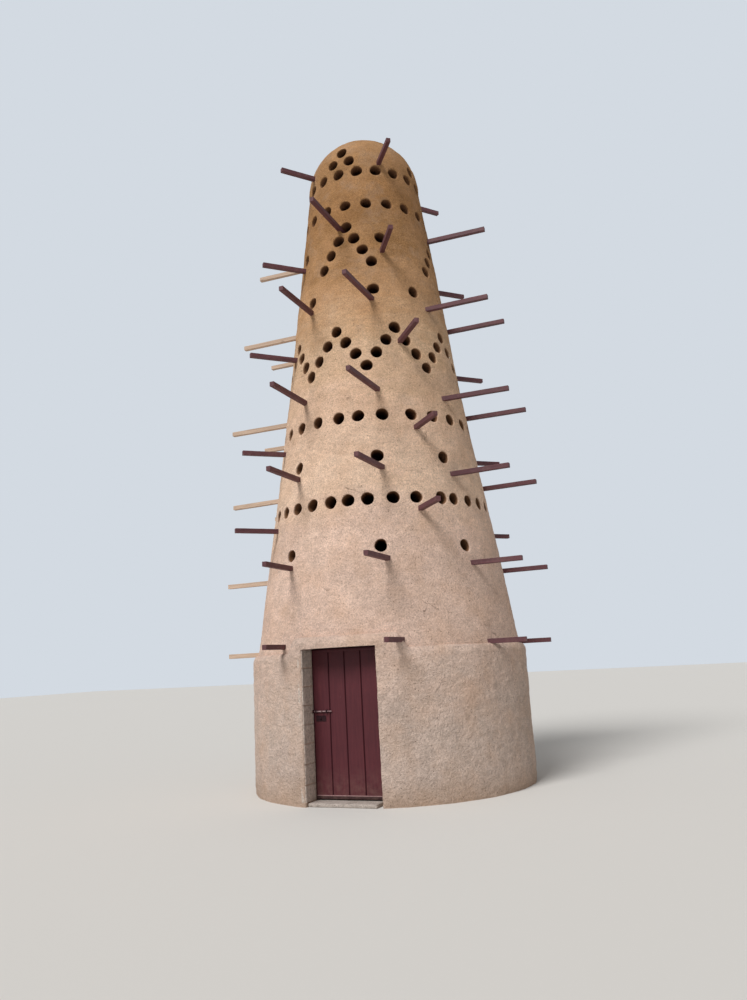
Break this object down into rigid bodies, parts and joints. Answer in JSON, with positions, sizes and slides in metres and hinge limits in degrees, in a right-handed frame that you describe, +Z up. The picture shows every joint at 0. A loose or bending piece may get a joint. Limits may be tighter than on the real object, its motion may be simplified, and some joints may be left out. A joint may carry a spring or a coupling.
{
  "type": "plastered pigeon tower (dovecote)",
  "caption": "Tall round mud-plastered pigeon tower on a low drum: tapering wall pierced by rings and zigzags of round nest holes, crossing timber perch poles, domed top, steel door.",
  "frame": {"origin": "on the tower's axis at ground level", "axes": "+Z up along the tower's axis, the door faces -Y, +X to the right of someone facing the door"},
  "size_m": [3.9728, 3.9278, 8.72],
  "materials": {
    "earth_plaster": "rough",
    "drum_plaster": "rough",
    "painted_timber": "satin",
    "bare_concrete": "rough",
    "door_paint": "satin",
    "bolt_steel": "worn"
  },
  "bodies": {
    "masonry": {"drum_wall_front_right": "drum_plaster", "drum_wall_right": "drum_plaster", "drum_wall_back_right": "drum_plaster", "drum_wall_back": "drum_plaster", "drum_wall_back_left": "drum_plaster", "drum_wall_left": "drum_plaster", "drum_wall_front_left": "drum_plaster", "door_jamb_left": "drum_plaster", "door_jamb_right": "drum_plaster", "door_lintel": "drum_plaster", "lower_wall_front_right": "earth_plaster", "lower_wall_right": "earth_plaster", "lower_wall_back_right": "earth_plaster", "lower_wall_back": "earth_plaster", "lower_wall_back_left": "earth_plaster", "lower_wall_left": "earth_plaster", "lower_wall_front_left": "earth_plaster", "lower_wall_front": "earth_plaster", "upper_wall_front_right": "earth_plaster", "upper_wall_right": "earth_plaster", "upper_wall_back_right": "earth_plaster", "upper_wall_back": "earth_plaster", "upper_wall_back_left": "earth_plaster", "upper_wall_left": "earth_plaster", "upper_wall_front_left": "earth_plaster", "upper_wall_front": "earth_plaster", "dome": "earth_plaster", "perch_poles_level_01": "painted_timber", "perch_poles_level_02": "painted_timber", "perch_poles_level_03": "painted_timber", "perch_poles_level_04": "painted_timber", "perch_poles_level_05": "painted_timber", "perch_poles_level_06": "painted_timber", "perch_poles_level_07": "painted_timber", "perch_poles_level_08": "painted_timber", "perch_poles_level_09": "painted_timber", "perch_poles_level_10": "painted_timber", "perch_poles_level_11": "painted_timber", "threshold": "bare_concrete", "door_frame": "door_paint", "hinge_pins": "door_paint"},
    "door": {"door_leaf": "door_paint", "hinge_sleeves": "door_paint", "bolt_guides": "door_paint", "padlock_hasp": "door_paint"},
    "bolt": {"sliding_bolt": "bolt_steel"}
  },
  "joints": [
    {"name": "door_swing", "type": "hinge", "parent": "masonry", "child": "door", "pos_m": [0.4417, -1.4502, 1], "axis": [0, 0, 1], "range_deg": [0, 90]},
    {"name": "bolt_slide", "type": "slide", "parent": "door", "child": "bolt", "axis": [-1, 0, 0], "range_m": [0, 0.045]}
  ]
}
